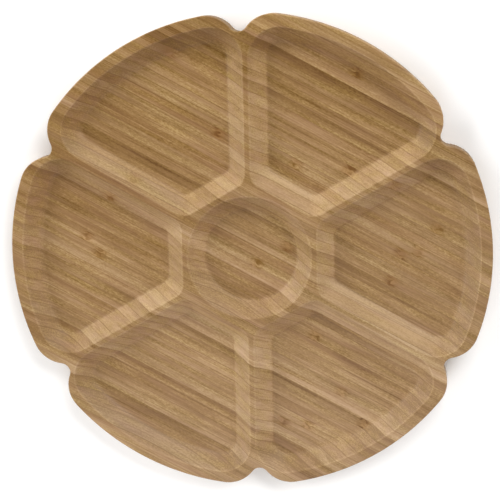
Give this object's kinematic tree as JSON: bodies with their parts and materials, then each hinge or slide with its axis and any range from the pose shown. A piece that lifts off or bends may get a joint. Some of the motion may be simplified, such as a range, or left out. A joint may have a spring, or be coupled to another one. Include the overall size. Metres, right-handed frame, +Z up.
{
  "type": "appetizer dish",
  "caption": "Round scalloped serving dish of laminated bamboo staves, with sloped petal pockets around a round dip pocket.",
  "frame": {"origin": "middle of the dish on its underside", "axes": "+Z up out of the pockets; +X along the bamboo staves, through one scallop notch; +Y across the staves, towards the upper right of the picture"},
  "size_m": [0.2968, 0.3, 0.016],
  "materials": {
    "bamboo_caramel": "satin oiled",
    "bamboo_honey": "satin oiled",
    "bamboo_toast": "satin oiled",
    "bamboo_straw": "satin oiled",
    "bamboo_tan": "satin oiled"
  },
  "bodies": {
    "root": {"stave_01": "bamboo_caramel", "stave_02": "bamboo_tan", "stave_03": "bamboo_honey", "stave_04": "bamboo_caramel", "stave_05": "bamboo_toast", "stave_06": "bamboo_honey", "stave_07": "bamboo_caramel", "stave_08": "bamboo_tan", "stave_09": "bamboo_tan", "stave_10": "bamboo_honey", "stave_11": "bamboo_caramel", "stave_12": "bamboo_caramel", "stave_13": "bamboo_tan", "stave_14": "bamboo_caramel", "stave_15": "bamboo_toast", "stave_16": "bamboo_straw", "stave_17": "bamboo_honey", "stave_18": "bamboo_caramel", "stave_19": "bamboo_caramel", "stave_20": "bamboo_tan", "stave_21": "bamboo_caramel", "stave_22": "bamboo_tan", "stave_23": "bamboo_tan", "stave_24": "bamboo_straw", "stave_25": "bamboo_honey", "stave_26": "bamboo_tan", "stave_27": "bamboo_honey", "stave_28": "bamboo_caramel", "stave_29": "bamboo_toast", "stave_30": "bamboo_caramel", "stave_31": "bamboo_honey", "stave_32": "bamboo_tan", "stave_33": "bamboo_caramel", "stave_34": "bamboo_honey", "stave_35": "bamboo_tan", "stave_36": "bamboo_honey", "stave_37": "bamboo_honey", "stave_38": "bamboo_caramel", "stave_39": "bamboo_caramel", "stave_40": "bamboo_straw", "stave_41": "bamboo_toast", "stave_42": "bamboo_caramel", "stave_43": "bamboo_caramel", "stave_44": "bamboo_honey", "stave_45": "bamboo_toast", "stave_46": "bamboo_straw", "stave_47": "bamboo_tan", "stave_48": "bamboo_caramel", "stave_49": "bamboo_honey", "stave_50": "bamboo_caramel"}
  },
  "joints": []
}
